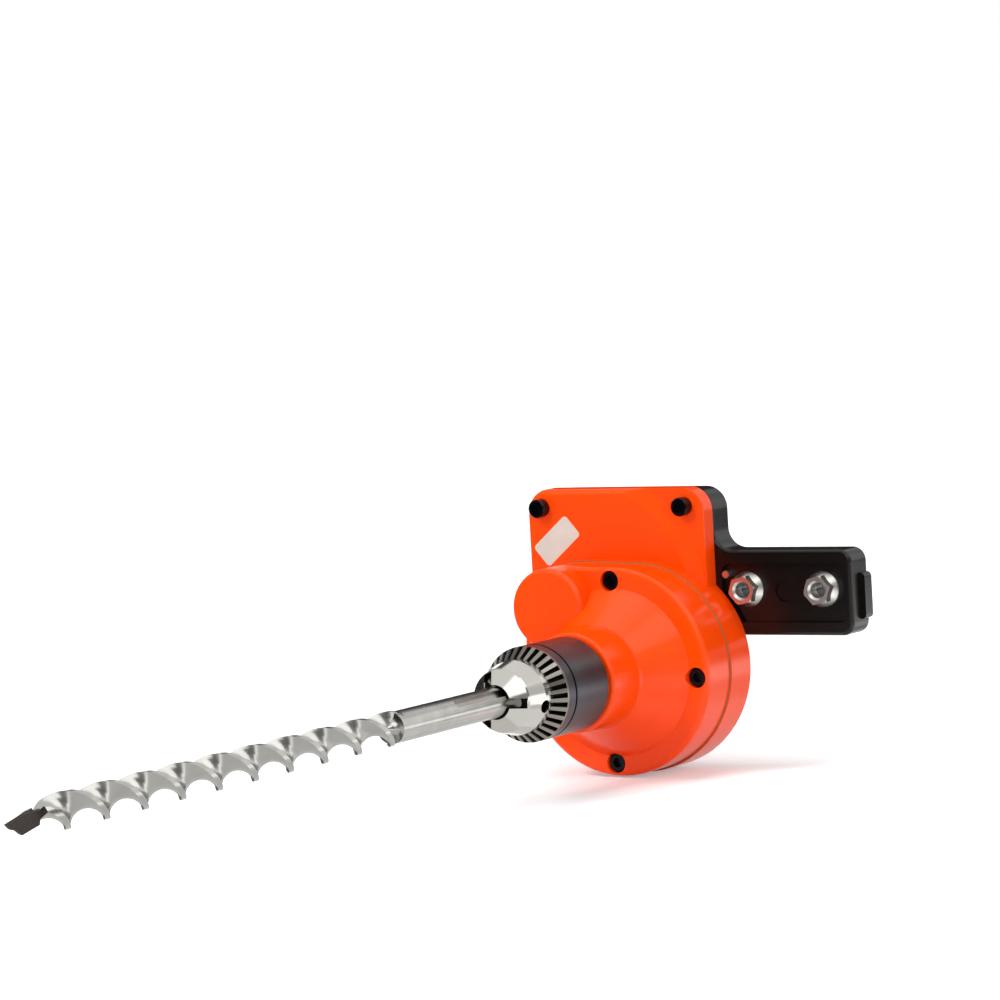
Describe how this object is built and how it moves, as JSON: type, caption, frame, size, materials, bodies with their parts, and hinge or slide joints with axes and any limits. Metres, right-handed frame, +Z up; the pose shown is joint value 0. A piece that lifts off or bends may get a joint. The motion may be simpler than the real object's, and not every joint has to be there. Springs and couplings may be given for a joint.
{
  "type": "chainsaw auger attachment",
  "caption": "Auger drill attachment for a chainsaw: gear case with key chuck and long fluted bit, on a cast adapter that bolts to the saw's bar studs.",
  "frame": {"origin": "middle of the two stud holes on the adapter's face against the saw", "axes": "+X along the stud row to the tab's free end, +Y towards the saw, +Z up; the bit points along -Y"},
  "size_m": [0.1918, 0.6085, 0.1518],
  "materials": {
    "orange_paint": "gloss",
    "black_casting": "satin",
    "gasket_sheet": "matte",
    "black_steel": "satin",
    "zinc_steel": "satin",
    "bearing_steel": "polished",
    "seal_rubber": "matte",
    "collar_finish": "satin",
    "polished_steel": "polished",
    "bit_steel": "polished",
    "hard_metal": "satin"
  },
  "bodies": {
    "case": {"adapter_housing": "black_casting", "rear_gear_case": "orange_paint", "front_gear_case": "orange_paint", "case_gasket": "gasket_sheet", "case_screws": "black_steel", "flange_screws": "black_steel", "bar_nuts": "zinc_steel", "locating_pin": "zinc_steel", "output_bearing_outer_rings": "bearing_steel", "rear_bearing_outer_rings": "bearing_steel", "input_front_outer_ring": "bearing_steel", "output_seal": "seal_rubber", "input_seal": "seal_rubber"},
    "spindle": {"output_spindle": "bearing_steel", "gear_key": "black_steel", "output_gear": "bearing_steel", "spindle_circlip": "black_steel", "output_bearing_inner_rings": "bearing_steel", "spindle_rear_inner_ring": "bearing_steel", "chuck_body": "polished_steel", "chuck_screw": "black_steel"},
    "input": {"input_shaft": "bearing_steel", "coupling_key": "black_steel", "drive_coupling": "bearing_steel", "input_rear_inner_ring": "bearing_steel", "input_front_inner_ring": "bearing_steel"},
    "sleeve": {"chuck_collar": "collar_finish", "chuck_ring": "polished_steel", "jaw_nut": "black_steel"},
    "jaw_1": {"jaw_a": "bearing_steel"},
    "jaw_2": {"jaw_b": "bearing_steel"},
    "jaw_3": {"jaw_c": "bearing_steel"},
    "bit": {"auger_bit": "bit_steel", "bit_tip": "hard_metal"}
  },
  "joints": [
    {"name": "output_spin", "type": "hinge", "parent": "case", "child": "spindle", "pos_m": [-0.0785, -0.064, -0.0391], "axis": [0, -1, 0], "continuous": true},
    {"name": "input_spin", "type": "hinge", "parent": "case", "child": "input", "pos_m": [-0.11142, -0.064, -0.00417], "axis": [0, -1, 0], "continuous": true},
    {"name": "chuck_sleeve_turn", "type": "hinge", "parent": "spindle", "child": "sleeve", "pos_m": [-0.0785, -0.064, -0.0391], "axis": [0, -1, 0], "range_deg": [0, 360]},
    {"name": "bit_pull", "type": "slide", "parent": "spindle", "child": "bit", "axis": [0, -1, 0], "range_m": [0, 0.045]},
    {"name": "jaw_1_slide", "type": "slide", "parent": "spindle", "child": "jaw_1", "axis": [0.1732, 0.9848, -0.0121], "range_m": [0, 0.0016]},
    {"name": "jaw_2_slide", "type": "slide", "parent": "spindle", "child": "jaw_2", "axis": [-0.0761, 0.9848, 0.1561], "range_m": [0, 0.0016]},
    {"name": "jaw_3_slide", "type": "slide", "parent": "spindle", "child": "jaw_3", "axis": [-0.0971, 0.9848, -0.144], "range_m": [0, 0.0016]}
  ],
  "couplings": [
    {"joint": "input_spin", "follows": "output_spin", "ratio": -3.5714},
    {"joint": "jaw_1_slide", "follows": "chuck_sleeve_turn", "m_per_rad": 0.00025465},
    {"joint": "jaw_2_slide", "follows": "chuck_sleeve_turn", "m_per_rad": 0.00025465},
    {"joint": "jaw_3_slide", "follows": "chuck_sleeve_turn", "m_per_rad": 0.00025465}
  ]
}
